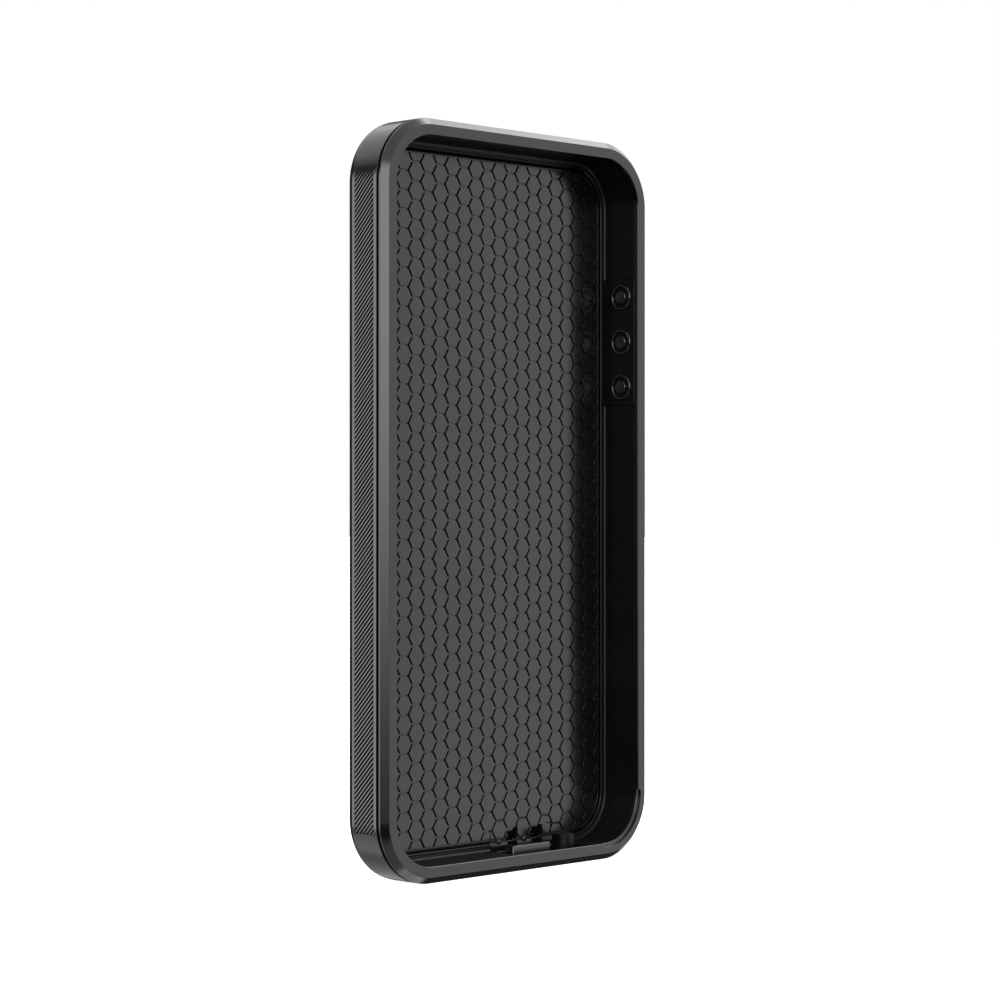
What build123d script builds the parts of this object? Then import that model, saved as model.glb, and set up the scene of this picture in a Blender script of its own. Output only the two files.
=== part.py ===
"""Protective phone case: hard back tray, push-fit front bezel, soft liner, three side buttons, port door.

Row frame, in millimetres: +Z up along the case's height, +X to the right as the phone user sees it,
+Y from the open front to the closed back. The origin is the centre of the case's bottom edge.
Depth is counted from the front plane towards the back, inset from the outer side faces inwards.
"""
from build123d import *
import os

# Overall size.
WIDTH = 83.8
HEIGHT = 165.0
THICKNESS = 12.8
CORNER_RADIUS = 14.3
FIT_GAP = 0.05

# Front bezel: chamfered ring with a lip over the phone's edge and a tongue into the tray.
BEZEL_CHAMFER = 1.42
BEZEL_BACK = 1.73
LIP_INSET = 3.8
LIP_THICKNESS = 1.3
LIP_ROUND = 0.3
TONGUE_OUTER_INSET = 0.8
TONGUE_BACK = 3.3
NOTCH_INSET = 2.85
NOTCH_DEPTH = 0.55
NOTCH_START_X = 27.3
NOTCH_TOP_Z = 14.5

# Seam between bezel and tray, with its gasket set back from the side face.
SEAM_BACK = 2.57
GASKET_OUTER_INSET = 0.45
GASKET_INNER_INSET = 0.75

# Hard tray.
TRAY_WALL = 1.5
TRAY_FLOOR_DEPTH = 11.5
BACK_EDGE_ROUND = 2.85

# Soft liner: a wall behind the lip and a narrow flange round the floor.
LINER_INNER_INSET = 3.5
FLOOR_DEPTH = 10.8
COVE_RADIUS = 0.4
FLOOR_INSET = 4.6

# Floor pad and the bead that frames it.
BEAD_WIDTH = 0.42
BEAD_RISE = 0.18
BEAD_ROUND = 0.15
PAD_INSET = FLOOR_INSET + BEAD_WIDTH + 2 * FIT_GAP

# Ribbed grip panels, let into the tray's sides.
GRIP_FRONT = 3.4
GRIP_BACK = 9.56
GRIP_THICKNESS = 0.65
GRIP_END_MARGIN = 11.0
RIGHT_GRIP_TOP_Z = 98.0

# Buttons on the right side.
BUTTON_PITCH = 10.5
BUTTON_MIDDLE_Z = 119.6
BUTTON_DEPTH = 5.4
CAP_LENGTH = 8.4
CAP_HEIGHT = 3.6
CAP_THICKNESS = 0.9
CAP_ROUND = 0.3
CAP_GAP = 0.1
STEM_RADIUS = 1.0
STEM_CLEARANCE = 0.06
MEMBRANE_HEIGHT = 29.6
MEMBRANE_INNER_INSET = 3.6
MEMBRANE_ROUND = 0.25
BOSS_RADIUS = 3.05
BOSS_WALL = 0.7
BOSS_RISE = 0.5
NUB_RADIUS = 1.6
NUB_THICKNESS = 0.5
NUB_ROUND = 0.2
SCOOP_DEPTH = 0.35
SCOOP_MARGIN = 3.0

# Port door in the bottom edge and its hinge.
DOOR_LEFT_X = 0.45
DOOR_RIGHT_X = 23.0
DOOR_GAP = 0.2
DOOR_FRONT = 2.75
DOOR_PLATE = 1.5
HINGE_Z = 4.3
KNUCKLE_RADIUS = 1.1
ARM_RADIUS = 0.8
ARM_NOSE_RISE = 0.25
HINGE_DEPTH = THICKNESS - KNUCKLE_RADIUS
LEAF_FRONT = HINGE_DEPTH - KNUCKLE_RADIUS
PIN_RADIUS = 0.45
PIN_CLEARANCE = 0.05
TAB_RANGES = [(DOOR_LEFT_X, 5.75), (8.95, 13.55), (17.15, DOOR_RIGHT_X)]
ARM_RANGES = [(5.75, 8.95), (13.55, 17.15)]
ARM_SIDE_GAP = 0.1
STRAP_THICKNESS = 0.35
STRAP_TOP_Z = 11.0
TAB_END_Z = 5.25
ARM_TOP_Z = HINGE_Z + ARM_RADIUS + FIT_GAP
ARM_NOTCH_TOP_Z = 8.25
LINER_PORT_TOP_Z = 7.1
RAMP_DEPTH = 1.0

# Plugs and seal on the port door.
PLUG_LEFT_X = 1.2
PLUG_WIDTH = 12.6
PLUG_FRONT = 4.3
PLUG_THICKNESS = 2.6
PLUG_TOP_Z = 5.1
PLUG_ROUND = 0.35
JACK_X = 19.3
JACK_DEPTH = 6.05
JACK_RADIUS = 2.6
JACK_TOP_Z = 6.4
SEAL_WIDTH = 0.5
SEAL_RISE = 0.4
SEAL_MARGIN = 0.15

RIGHT_X = WIDTH / 2

# Reach of cutting shapes: a little past a face, or past the whole case.
OVERCUT = 1.0
FAR = 50.0


def y_at(depth):
    """Row Y of a depth behind the front plane."""
    return depth - THICKNESS / 2


def prism(inset, front, back):
    """Rounded outline moved inwards by inset, between two depths."""
    plane = Plane(origin=(0, y_at(front), HEIGHT / 2), x_dir=(1, 0, 0), z_dir=(0, 1, 0))
    width = WIDTH - 2 * inset
    height = HEIGHT - 2 * inset
    outline = plane * RectangleRounded(width, height, CORNER_RADIUS - inset)
    return extrude(outline, back - front)


def ring(outer_inset, inner_inset, front, back):
    """Closed band between two insets and two depths."""
    return prism(outer_inset, front, back) - prism(inner_inset, front - OVERCUT, back + OVERCUT)


def block(x_range, depth_range, z_range):
    """Box between limits in X, depth and Z."""
    size = [high - low for low, high in (x_range, depth_range, z_range)]
    middle_x = sum(x_range) / 2
    middle_y = y_at(sum(depth_range) / 2)
    middle_z = sum(z_range) / 2
    return Pos(middle_x, middle_y, middle_z) * Box(*size)


def x_rod(radius, x_range, depth, z):
    """Cylinder along X between two X values."""
    length = x_range[1] - x_range[0]
    place = Pos(sum(x_range) / 2, y_at(depth), z) * Rot(0, 90, 0)
    return place * Cylinder(radius, length)


def front_edges(solid):
    """Edges of the face nearest the front."""
    return solid.faces().sort_by(Axis.Y)[0].edges()


def back_edges(solid):
    """Edges of the face nearest the back."""
    return solid.faces().sort_by(Axis.Y)[-1].edges()


def button_heights():
    """Z of the three buttons, lowest first."""
    return [BUTTON_MIDDLE_Z + step * BUTTON_PITCH for step in (-1, 0, 1)]


def port_cut(depth_range, z_range):
    """Space of the port door, with its side gaps."""
    return block((DOOR_LEFT_X - DOOR_GAP, DOOR_RIGHT_X + DOOR_GAP), depth_range, z_range)


def grip_band(outer_inset, inner_inset, side, z_range, gap=0.0):
    """Stretch of one side's wall between two insets; side is -1 for left and +1 for right."""
    band = ring(outer_inset, inner_inset, GRIP_FRONT - gap, GRIP_BACK + gap)
    x_limits = sorted((side * FAR, side * CORNER_RADIUS))
    z_limits = (z_range[0] - gap, z_range[1] + gap)
    return band & block(x_limits, (0, THICKNESS), z_limits)


def cap_outline(growth, thickness, outer_inset):
    """Pill-shaped button body on the right side, grown sideways by growth."""
    plane = Plane(origin=(RIGHT_X - outer_inset, 0, 0), x_dir=(0, 0, 1), z_dir=(-1, 0, 0))
    pill = SlotOverall(CAP_LENGTH + 2 * growth, CAP_HEIGHT + 2 * growth)
    return extrude(plane * pill, thickness)


def side_rod(radius, outer_inset, inner_inset):
    """Cylinder along X from one inset to another on the right side, at Y and Z zero."""
    return Pos(RIGHT_X - (outer_inset + inner_inset) / 2, 0, 0) * Rot(0, 90, 0) * Cylinder(
        radius, inner_inset - outer_inset
    )


def at_button(height):
    """Place of a button's axis on the right side."""
    return Pos(0, y_at(BUTTON_DEPTH), height)


def make_front_bezel():
    body = prism(0, 0, BEZEL_BACK)
    body = chamfer(front_edges(body), BEZEL_CHAMFER)
    body -= prism(TRAY_WALL, LIP_THICKNESS, BEZEL_BACK + OVERCUT)
    body -= prism(LIP_INSET, -OVERCUT, BEZEL_BACK + OVERCUT)
    lip_edge = body.faces().sort_by(Axis.Y)[0].inner_wires()[0].edges()
    body = fillet(lip_edge, LIP_ROUND)
    body += ring(TONGUE_OUTER_INSET, TRAY_WALL, BEZEL_BACK, TONGUE_BACK)
    body -= port_cut((BEZEL_BACK + FIT_GAP, TONGUE_BACK + OVERCUT), (-OVERCUT, TRAY_WALL + OVERCUT))
    body -= finger_notch()
    return body


def finger_notch():
    """Ledge in the lip around the lower right corner, for a fingertip to pull the bezel off."""
    shelf = prism(NOTCH_INSET, -OVERCUT, NOTCH_DEPTH)
    return shelf & block((NOTCH_START_X, FAR), (-OVERCUT, THICKNESS), (0, NOTCH_TOP_Z))


def make_seam_gasket():
    front = BEZEL_BACK + FIT_GAP
    return ring(GASKET_OUTER_INSET, GASKET_INNER_INSET, front, SEAM_BACK - FIT_GAP)


def make_back_tray():
    body = prism(0, SEAM_BACK, THICKNESS)
    body = fillet(back_edges(body), BACK_EDGE_ROUND)
    body -= prism(TONGUE_OUTER_INSET - FIT_GAP, SEAM_BACK - OVERCUT, TONGUE_BACK + FIT_GAP)
    body -= prism(TRAY_WALL, SEAM_BACK - OVERCUT, TRAY_FLOOR_DEPTH)
    recess = GRIP_THICKNESS + FIT_GAP
    for side, z_range in ((-1, left_grip_span()), (1, right_grip_span())):
        body -= grip_band(-OVERCUT, recess, side, z_range, FIT_GAP)
    body -= button_scoop()
    for height in button_heights():
        body -= at_button(height) * cap_outline(CAP_GAP, TRAY_WALL + 2 * OVERCUT, -OVERCUT)
    body -= port_cut((SEAM_BACK - OVERCUT, THICKNESS + OVERCUT), (-OVERCUT, TRAY_WALL + FIT_GAP))
    leaf_depths = (LEAF_FRONT - FIT_GAP, THICKNESS + OVERCUT)
    body -= port_cut(leaf_depths, (-OVERCUT, ARM_TOP_Z))
    for x_range in TAB_RANGES:
        knuckle_space = (x_range[0] - FIT_GAP, x_range[1] + FIT_GAP)
        body -= x_rod(KNUCKLE_RADIUS + FIT_GAP, knuckle_space, HINGE_DEPTH, HINGE_Z)
    for x_range in ARM_RANGES:
        body -= arm_ramp(x_range)
    return body


def button_scoop():
    """Shallow finger recess around the three caps."""
    half = BUTTON_PITCH + CAP_LENGTH / 2 + SCOOP_MARGIN
    z_range = (BUTTON_MIDDLE_Z - half, BUTTON_MIDDLE_Z + half)
    return block((RIGHT_X - SCOOP_DEPTH, FAR), (GRIP_FRONT, GRIP_BACK), z_range)


def arm_ramp(x_range):
    """Wedge that leads from the floor down to a door arm, deepest at the hinge."""
    corners = [
        (TRAY_FLOOR_DEPTH, ARM_NOTCH_TOP_Z),
        (TRAY_FLOOR_DEPTH, ARM_TOP_Z - OVERCUT),
        (TRAY_FLOOR_DEPTH + RAMP_DEPTH, ARM_TOP_Z - OVERCUT),
        (TRAY_FLOOR_DEPTH + RAMP_DEPTH, ARM_TOP_Z),
    ]
    points = [(y_at(depth), z) for depth, z in corners]
    plane = Plane(origin=(x_range[0], 0, 0), x_dir=(0, 1, 0), z_dir=(1, 0, 0))
    return extrude(plane * make_face(Polyline(*points, close=True)), x_range[1] - x_range[0])


def left_grip_span():
    return (GRIP_END_MARGIN, HEIGHT - GRIP_END_MARGIN)


def right_grip_span():
    return (GRIP_END_MARGIN, RIGHT_GRIP_TOP_Z)


def make_grip_panel(side, z_range):
    return grip_band(0, GRIP_THICKNESS, side, z_range)


def make_liner():
    body = prism(TRAY_WALL + FIT_GAP, LIP_THICKNESS + FIT_GAP, TRAY_FLOOR_DEPTH - FIT_GAP)
    pocket = prism(LINER_INNER_INSET, 0, FLOOR_DEPTH)
    body -= fillet(back_edges(pocket), COVE_RADIUS)
    body -= prism(FLOOR_INSET, 0, THICKNESS)
    window_x = (RIGHT_X - FLOOR_INSET - OVERCUT, FAR)
    body -= block(window_x, (0, FLOOR_DEPTH), membrane_span(FIT_GAP))
    body -= port_cut((0, THICKNESS), (0, LINER_PORT_TOP_Z))
    return body


def membrane_span(gap):
    half = MEMBRANE_HEIGHT / 2 + gap
    return (BUTTON_MIDDLE_Z - half, BUTTON_MIDDLE_Z + half)


def make_button_membrane():
    """Flat soft plate in the liner's right wall, with a raised ring around each button."""
    x_range = (RIGHT_X - MEMBRANE_INNER_INSET, RIGHT_X - TRAY_WALL - FIT_GAP)
    depth_range = (LIP_THICKNESS + 2 * FIT_GAP, FLOOR_DEPTH - FIT_GAP)
    plate = block(x_range, depth_range, membrane_span(0))
    inner_face = plate.faces().sort_by(Axis.X)[0]
    plate = fillet(inner_face.edges().filter_by(Axis.Y), MEMBRANE_ROUND)
    for height in button_heights():
        boss = side_rod(BOSS_RADIUS, MEMBRANE_INNER_INSET, MEMBRANE_INNER_INSET + BOSS_RISE)
        boss_end = MEMBRANE_INNER_INSET + BOSS_RISE + OVERCUT
        well = side_rod(BOSS_RADIUS - BOSS_WALL, MEMBRANE_INNER_INSET, boss_end)
        bore = side_rod(STEM_RADIUS + STEM_CLEARANCE, 0, boss_end)
        plate += at_button(height) * (boss - well)
        plate -= at_button(height) * bore
    return plate


def make_button_cap(height):
    cap = cap_outline(0, CAP_THICKNESS, 0)
    cap = fillet(cap.faces().sort_by(Axis.X)[-1].edges(), CAP_ROUND)
    cap += side_rod(STEM_RADIUS, CAP_THICKNESS, MEMBRANE_INNER_INSET + FIT_GAP)
    return at_button(height) * cap


def make_button_nub(height):
    """Pad on the inner end of a button's stem, which presses the phone's own button."""
    start = MEMBRANE_INNER_INSET + FIT_GAP
    nub = side_rod(NUB_RADIUS, start, start + NUB_THICKNESS)
    nub = fillet(nub.faces().sort_by(Axis.X)[0].edges(), NUB_ROUND)
    return at_button(height) * nub


def make_floor_bead():
    """Thin rounded frame around the floor pad, open at the port."""
    front = FLOOR_DEPTH - BEAD_RISE
    back = TRAY_FLOOR_DEPTH - FIT_GAP
    bead = ring(FLOOR_INSET + FIT_GAP, FLOOR_INSET + FIT_GAP + BEAD_WIDTH, front, back)
    bead = fillet(front_edges(bead), BEAD_ROUND)
    return bead - port_cut((0, THICKNESS), (0, LINER_PORT_TOP_Z))


def make_floor_pad():
    """Soft pad on the floor, with tabs over the hinge straps and notches for the door's arms."""
    back = TRAY_FLOOR_DEPTH - FIT_GAP
    body = prism(PAD_INSET, FLOOR_DEPTH, back)
    strap_front = back - STRAP_THICKNESS
    body -= port_cut((strap_front - FIT_GAP, THICKNESS), (0, STRAP_TOP_Z + FIT_GAP))
    body -= port_cut((0, THICKNESS), (0, TAB_END_Z))
    slit = (DOOR_LEFT_X - DOOR_GAP, DOOR_LEFT_X + FIT_GAP)
    for x_range in [slit] + ARM_RANGES:
        body -= block(x_range, (0, THICKNESS), (0, ARM_NOTCH_TOP_Z))
    return body


def make_hinge_bracket():
    """Strap plate under the pad, ending in the three fixed knuckles."""
    back = TRAY_FLOOR_DEPTH - FIT_GAP
    depths = (back - STRAP_THICKNESS, back)
    body = block((DOOR_LEFT_X, DOOR_RIGHT_X), depths, (ARM_NOTCH_TOP_Z, STRAP_TOP_Z))
    for x_range in TAB_RANGES:
        body += block(x_range, depths, (HINGE_Z, ARM_NOTCH_TOP_Z))
        body += x_rod(KNUCKLE_RADIUS, x_range, HINGE_DEPTH, HINGE_Z)
    return body - x_rod(PIN_RADIUS, (-FAR, FAR), HINGE_DEPTH, HINGE_Z)


def make_hinge_pin():
    return x_rod(PIN_RADIUS, (DOOR_LEFT_X, DOOR_RIGHT_X), HINGE_DEPTH, HINGE_Z)


def make_port_door():
    """Angled door: a plate in the bottom edge and a leaf in the back, with two hinge arms. A nose on
    each arm closes the gap above it."""
    width = (DOOR_LEFT_X, DOOR_RIGHT_X)
    leaf_top = HINGE_Z - KNUCKLE_RADIUS - FIT_GAP
    body = block(width, (DOOR_FRONT, THICKNESS), (0, DOOR_PLATE))
    body += block(width, (LEAF_FRONT, THICKNESS), (0, leaf_top))
    heel = body.edges().filter_by(Axis.X).sort_by(Axis.Y)[-2:].sort_by(Axis.Z)[0]
    body = fillet(heel, BACK_EDGE_ROUND)
    for x_range in ARM_RANGES:
        sides = (x_range[0] + ARM_SIDE_GAP, x_range[1] - ARM_SIDE_GAP)
        arm_depths = (HINGE_DEPTH - ARM_RADIUS, HINGE_DEPTH + ARM_RADIUS)
        body += block(sides, arm_depths, (leaf_top, HINGE_Z))
        body += x_rod(ARM_RADIUS, sides, HINGE_DEPTH, HINGE_Z)
        nose_depths = (HINGE_DEPTH - ARM_RADIUS, HINGE_DEPTH)
        body += block(sides, nose_depths, (HINGE_Z, HINGE_Z + ARM_RADIUS + ARM_NOSE_RISE))
    return body - x_rod(PIN_RADIUS + PIN_CLEARANCE, (-FAR, FAR), HINGE_DEPTH, HINGE_Z)


def make_port_plug():
    """Tapered plug that fills the phone's charging port."""
    x_range = (PLUG_LEFT_X, PLUG_LEFT_X + PLUG_WIDTH)
    plug = block(x_range, (PLUG_FRONT, PLUG_FRONT + PLUG_THICKNESS), (DOOR_PLATE, PLUG_TOP_Z))
    return fillet(plug.faces().sort_by(Axis.Z)[-1].edges(), PLUG_ROUND)


def make_jack_plug():
    """Round plug that fills the phone's second socket."""
    height = JACK_TOP_Z - DOOR_PLATE
    middle = Pos(JACK_X, y_at(JACK_DEPTH), DOOR_PLATE + height / 2)
    plug = middle * Cylinder(JACK_RADIUS, height)
    return fillet(plug.faces().sort_by(Axis.Z)[-1].edges(), PLUG_ROUND)


def make_door_seal():
    """Soft rectangular frame on the door's inner face."""
    x_range = (DOOR_LEFT_X + SEAL_MARGIN, DOOR_RIGHT_X - SEAL_MARGIN)
    depth_range = (DOOR_FRONT + SEAL_MARGIN, LEAF_FRONT - SEAL_MARGIN)
    z_range = (DOOR_PLATE, DOOR_PLATE + SEAL_RISE)
    inner_x = (x_range[0] + SEAL_WIDTH, x_range[1] - SEAL_WIDTH)
    inner_depth = (depth_range[0] + SEAL_WIDTH, depth_range[1] - SEAL_WIDTH)
    return block(x_range, depth_range, z_range) - block(inner_x, inner_depth, (0, FAR))


def make_all():
    """Every node by name."""
    low, middle, high = button_heights()
    return {
        "back_tray": make_back_tray(),
        "front_bezel": make_front_bezel(),
        "seam_gasket": make_seam_gasket(),
        "inner_liner": make_liner(),
        "floor_bead": make_floor_bead(),
        "floor_pad": make_floor_pad(),
        "grip_panel_left": make_grip_panel(-1, left_grip_span()),
        "grip_panel_right": make_grip_panel(1, right_grip_span()),
        "button_membrane": make_button_membrane(),
        "upper_button_cap": make_button_cap(high),
        "upper_button_nub": make_button_nub(high),
        "middle_button_cap": make_button_cap(middle),
        "middle_button_nub": make_button_nub(middle),
        "lower_button_cap": make_button_cap(low),
        "lower_button_nub": make_button_nub(low),
        "hinge_bracket": make_hinge_bracket(),
        "hinge_pin": make_hinge_pin(),
        "port_door": make_port_door(),
        "port_plug": make_port_plug(),
        "jack_plug": make_jack_plug(),
        "door_seal": make_door_seal(),
    }


os.makedirs("parts", exist_ok=True)
for name, shape in make_all().items():
    export_step(shape, f"parts/{name}.step")
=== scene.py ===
"""Phone case: fine visual meshes, materials, studio and camera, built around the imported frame.

Lengths inside the shape functions are millimetres; mesh_object turns them into metres. Depth counts
from the case's front plane to its back, inset from the outer side faces inwards.
"""
import math

import bmesh
import bpy
from mathutils import Matrix, Vector


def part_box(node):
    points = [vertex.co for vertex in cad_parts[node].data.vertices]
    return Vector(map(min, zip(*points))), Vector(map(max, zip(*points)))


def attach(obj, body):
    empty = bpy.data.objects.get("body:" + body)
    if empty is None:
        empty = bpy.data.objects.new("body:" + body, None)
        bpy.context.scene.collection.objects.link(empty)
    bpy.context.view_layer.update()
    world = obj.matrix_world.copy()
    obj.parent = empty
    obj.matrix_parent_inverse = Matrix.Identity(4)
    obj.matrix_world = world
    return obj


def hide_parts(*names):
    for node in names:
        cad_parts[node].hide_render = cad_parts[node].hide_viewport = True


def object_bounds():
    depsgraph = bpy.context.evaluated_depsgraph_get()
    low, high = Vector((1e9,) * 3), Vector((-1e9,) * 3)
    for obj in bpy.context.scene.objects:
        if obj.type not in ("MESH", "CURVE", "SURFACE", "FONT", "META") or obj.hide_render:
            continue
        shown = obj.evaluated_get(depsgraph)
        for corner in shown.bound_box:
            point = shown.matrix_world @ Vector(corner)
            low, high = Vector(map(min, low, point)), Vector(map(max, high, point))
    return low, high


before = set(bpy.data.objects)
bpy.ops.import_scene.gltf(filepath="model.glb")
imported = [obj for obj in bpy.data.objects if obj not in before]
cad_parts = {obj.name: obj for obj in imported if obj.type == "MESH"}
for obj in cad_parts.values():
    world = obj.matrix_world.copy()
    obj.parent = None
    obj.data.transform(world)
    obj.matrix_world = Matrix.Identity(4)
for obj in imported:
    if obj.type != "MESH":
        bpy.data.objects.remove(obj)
CAD_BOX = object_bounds()

MM = 0.001
BUTTONS = ("upper", "middle", "lower")
CORNERS = ("lower_right", "upper_right", "upper_left", "lower_left")

# Tolerances, and how far cutters reach past what they cut.
MERGE = 1e-4
ON_LINE = 1e-9
LEAST_RADIUS = 0.001
LEAST_OVERLAP = 0.01
OVERCUT = 1.0
WINDOW_OVERCUT = 0.3

# Steps in an arc: the outline's corners, rounded edges, and the shapes named here.
ARC_STEPS = 24
ROUND_STEPS = 5
FINE_STEPS = 3
COVE_STEPS = 8
BACK_STEPS = 12
NOTCH_STEPS = 12
DOME_STEPS = 6
PANEL_STEPS = 6
RIB_STEPS = 6
LATHE_STEPS = 48


def box_mm(node):
    """Lowest and highest corner of a CAD node, in millimetres."""
    low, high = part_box(node)
    return low / MM, high / MM


def middle_mm(node):
    """Middle of a CAD node's box, in millimetres."""
    return [(first + last) / 2 for first, last in zip(*box_mm(node))]


# Overall size, from the frame.
LOW = Vector(CAD_BOX[0]) / MM
HIGH = Vector(CAD_BOX[1]) / MM
RIGHT_X = HIGH.x
FRONT_Y = LOW.y
THICKNESS = HIGH.y - LOW.y
HEIGHT = HIGH.z - LOW.z
MIDDLE_Z = (LOW.z + HIGH.z) / 2
CORNER_RADIUS = 14.3

# Bezel.
BEZEL_CHAMFER = 1.42
BEZEL_BACK = 1.73
BEZEL_SEAM_ROUND = 0.05
CHAMFER_SIDE_ROUND = 0.12
CHAMFER_FRONT_ROUND = 0.16
LIP_INSET = 3.8
LIP_THICKNESS = 1.3
LIP_ROUND = 0.28
TONGUE_OUTER_INSET = 0.8
NOTCH_INSET = 2.85
NOTCH_DEPTH = 0.55
NOTCH_START_X = 27.3
NOTCH_TOP_Z = 14.5
NOTCH_ROUND = 0.08
LEAST_NOTCH = 0.002

# Tray.
FIT_GAP = 0.05
SEAM_BACK = box_mm("back_tray")[0].y - FRONT_Y
TRAY_WALL = 1.5
TRAY_FLOOR_DEPTH = box_mm("floor_pad")[1].y - FRONT_Y + FIT_GAP
TRAY_SEAM_ROUND = 0.12
BACK_EDGE_ROUND = 2.85
GRIP_RECESS = 0.7
GRIP_EDGE_ROUND = 0.06
SCOOP_DEPTH = 0.35
SCOOP_MARGIN = 3.0
GASKET_ROUND = 0.1

# Liner and floor.
LINER_INNER_INSET = 3.5
LINER_EDGE_ROUND = 0.25
COVE_RADIUS = 1.0
FLANGE_ROUND = 0.12
FLOOR_DEPTH = box_mm("floor_pad")[0].y - FRONT_Y
FLOOR_INSET = RIGHT_X - box_mm("floor_bead")[1].x - FIT_GAP
BEAD_WIDTH = 0.42
BEAD_ROUND = 0.2
PAD_INSET = RIGHT_X - box_mm("floor_pad")[1].x
PAD_BACK = box_mm("floor_pad")[1].y - FRONT_Y
PAD_EDGE_DROP = 0.5
PAD_EDGE_ROUND = 0.05
STRAP_THICKNESS = 0.35

# Honeycomb.
HEX_SIDE = 2.457
HEX_CENTRE_X = -0.3
FIELD_INSET = 5.9
GROOVE_WIDTH = 0.42
GROOVE_DEPTH = 0.45
CELL_ROUND = 0.06
SMALLEST_CELL = 1.0

# Grip panels and their ribs.
PANEL_THICKNESS = 0.65
PANEL_INSET = 0.02
PANEL_ROUND = 0.06
RIM_ROUND = 0.05
RIM_FLOOR = 0.021
BED_INSET = 0.36
SIDE_RIM = 0.15
END_RIM = 0.4
RIB_PITCH = 1.1
RIB_GAP = 0.02
RIB_UPPER_EDGE = 0.3
RIB_FLAT = 0.5
RIB_TOP = 0.04
RIB_LEAN = 0.04
RIB_CREST_ROUND = 0.05
RIB_SHOULDER_ROUND = 0.08

# Buttons.
CAP_THICKNESS = 0.9
CAP_GAP = 0.1
CAP_CROWN = 0.12
CAP_ROUND = 0.28
CROWN_FLAT = 0.25
MEMBRANE_INNER_INSET = 3.6
MEMBRANE_ROUND = 0.25
MEMBRANE_CORNER = 0.4
BOSS_RADIUS = 3.05
BOSS_WALL = 0.7
BOSS_ROOT = 0.2
BOSS_ROUND = 0.22
BORE_REACH = 5.0
STEM_RADIUS = 1.0
STEM_CLEARANCE = 0.06
NUB_ROUND = 0.2

# Port.
DOOR_GAP = 0.2
DOOR_LEFT_X = box_mm("port_door")[0].x
DOOR_RIGHT_X = box_mm("port_door")[1].x
ARM_RANGES = [(5.75, 8.95), (13.55, 17.15)]
ARM_NOTCH_TOP_Z = 8.25
TAB_RANGES = [
    (DOOR_LEFT_X, ARM_RANGES[0][0]),
    (ARM_RANGES[0][1], ARM_RANGES[1][0]),
    (ARM_RANGES[1][1], DOOR_RIGHT_X),
]
STUDDED_TABS = TAB_RANGES[:2]
TAB_END_Z = 5.25
STUD_RADIUS = 0.65
STUD_RISE = 0.15
HINGE_Z = middle_mm("hinge_pin")[2]
KNUCKLE_RADIUS = 1.1
ARM_RADIUS = 0.8
ARM_TOP_Z = HINGE_Z + ARM_RADIUS + FIT_GAP
RAMP_DEPTH = 1.0
SLIT_WIDTH = 0.3
HOOK_X = 20.05
HOOK_LENGTH = 1.6
DOOR_ROUND = 0.12
PLUG_TAPER = 0.25
PLUG_ROUND = 0.3
PLUG_CORNER = 0.7
JACK_ROUND = 0.35
SEAL_WIDTH = 0.5
SEAL_ROUND = 0.12
SEAL_CORNER = 0.8
SEAL_INNER_CORNER = 0.35

# Camera: where it stands and looks, measured from the middle of the case's front plane.
CAMERA_AZIMUTH = -45
CAMERA_LENS = 94.8
CAMERA_LIFT = 0.2
FRONT_DISTANCE = 586.06
FRONT_SHIFT = 5.19


# ---------------------------------------------------------------- outline and sections

def arc_stations(corner, extra=()):
    """Stations round one corner, anticlockwise seen from the front. A station is the middle of its
    arc and the outward direction; extra angles, in degrees, are added to the even ones."""
    start = 90 * CORNERS.index(corner) - 90
    angles = sorted({start + 90 * i / ARC_STEPS for i in range(ARC_STEPS + 1)} | set(extra))
    x = (RIGHT_X - CORNER_RADIUS) * (1 if corner.endswith("right") else -1)
    z = CORNER_RADIUS if corner.startswith("lower") else HEIGHT - CORNER_RADIUS
    return [(x, z, math.cos(math.radians(a)), math.sin(math.radians(a))) for a in angles]


def bottom_station(x):
    """Station on the bottom edge."""
    return (x, CORNER_RADIUS, 0.0, -1.0)


def side_station(side, z):
    """Station on the left (side -1) or right (side 1) edge."""
    return (side * (RIGHT_X - CORNER_RADIUS), z, float(side), 0.0)


def on_outline(station, inset, depth):
    """Point at an inset and a depth."""
    x, z, out_x, out_z = station
    reach = CORNER_RADIUS - inset
    return (x + reach * out_x, FRONT_Y + depth, z + reach * out_z)


def outline_of(*corners):
    """Path round the named corners, in order."""
    return [station for corner in corners for station in arc_stations(corner)]


def rounded(corners, steps=ROUND_STEPS):
    """Polygon of (a, b, radius) corners with every corner turned into an arc of its radius, or of the
    largest radius that its two sides leave room for."""
    points = []
    count = len(corners)
    nearly_half = 0.49
    nearly_straight = math.radians(89)
    for i, (a, b, radius) in enumerate(corners):
        here = Vector((a, b))
        before = Vector(corners[i - 1][:2]) - here
        after = Vector(corners[(i + 1) % count][:2]) - here
        if radius == 0 or before.length < MERGE or after.length < MERGE:
            points.append((a, b))
            continue
        half = before.angle(after) / 2
        if half > nearly_straight:
            points.append((a, b))
            continue
        radius = min(radius, nearly_half * min(before.length, after.length) * math.tan(half))
        middle = here + (before.normalized() + after.normalized()).normalized() * radius / math.sin(half)
        first = here + before.normalized() * radius / math.tan(half) - middle
        last = here + after.normalized() * radius / math.tan(half) - middle
        turn = first.angle_signed(last)
        for step in range(steps + 1):
            spoke = first.copy()
            spoke.rotate(Matrix.Rotation(-turn * step / steps, 2))
            points.append(tuple(middle + spoke))
    return points


# ---------------------------------------------------------------- general mesh helpers

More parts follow.
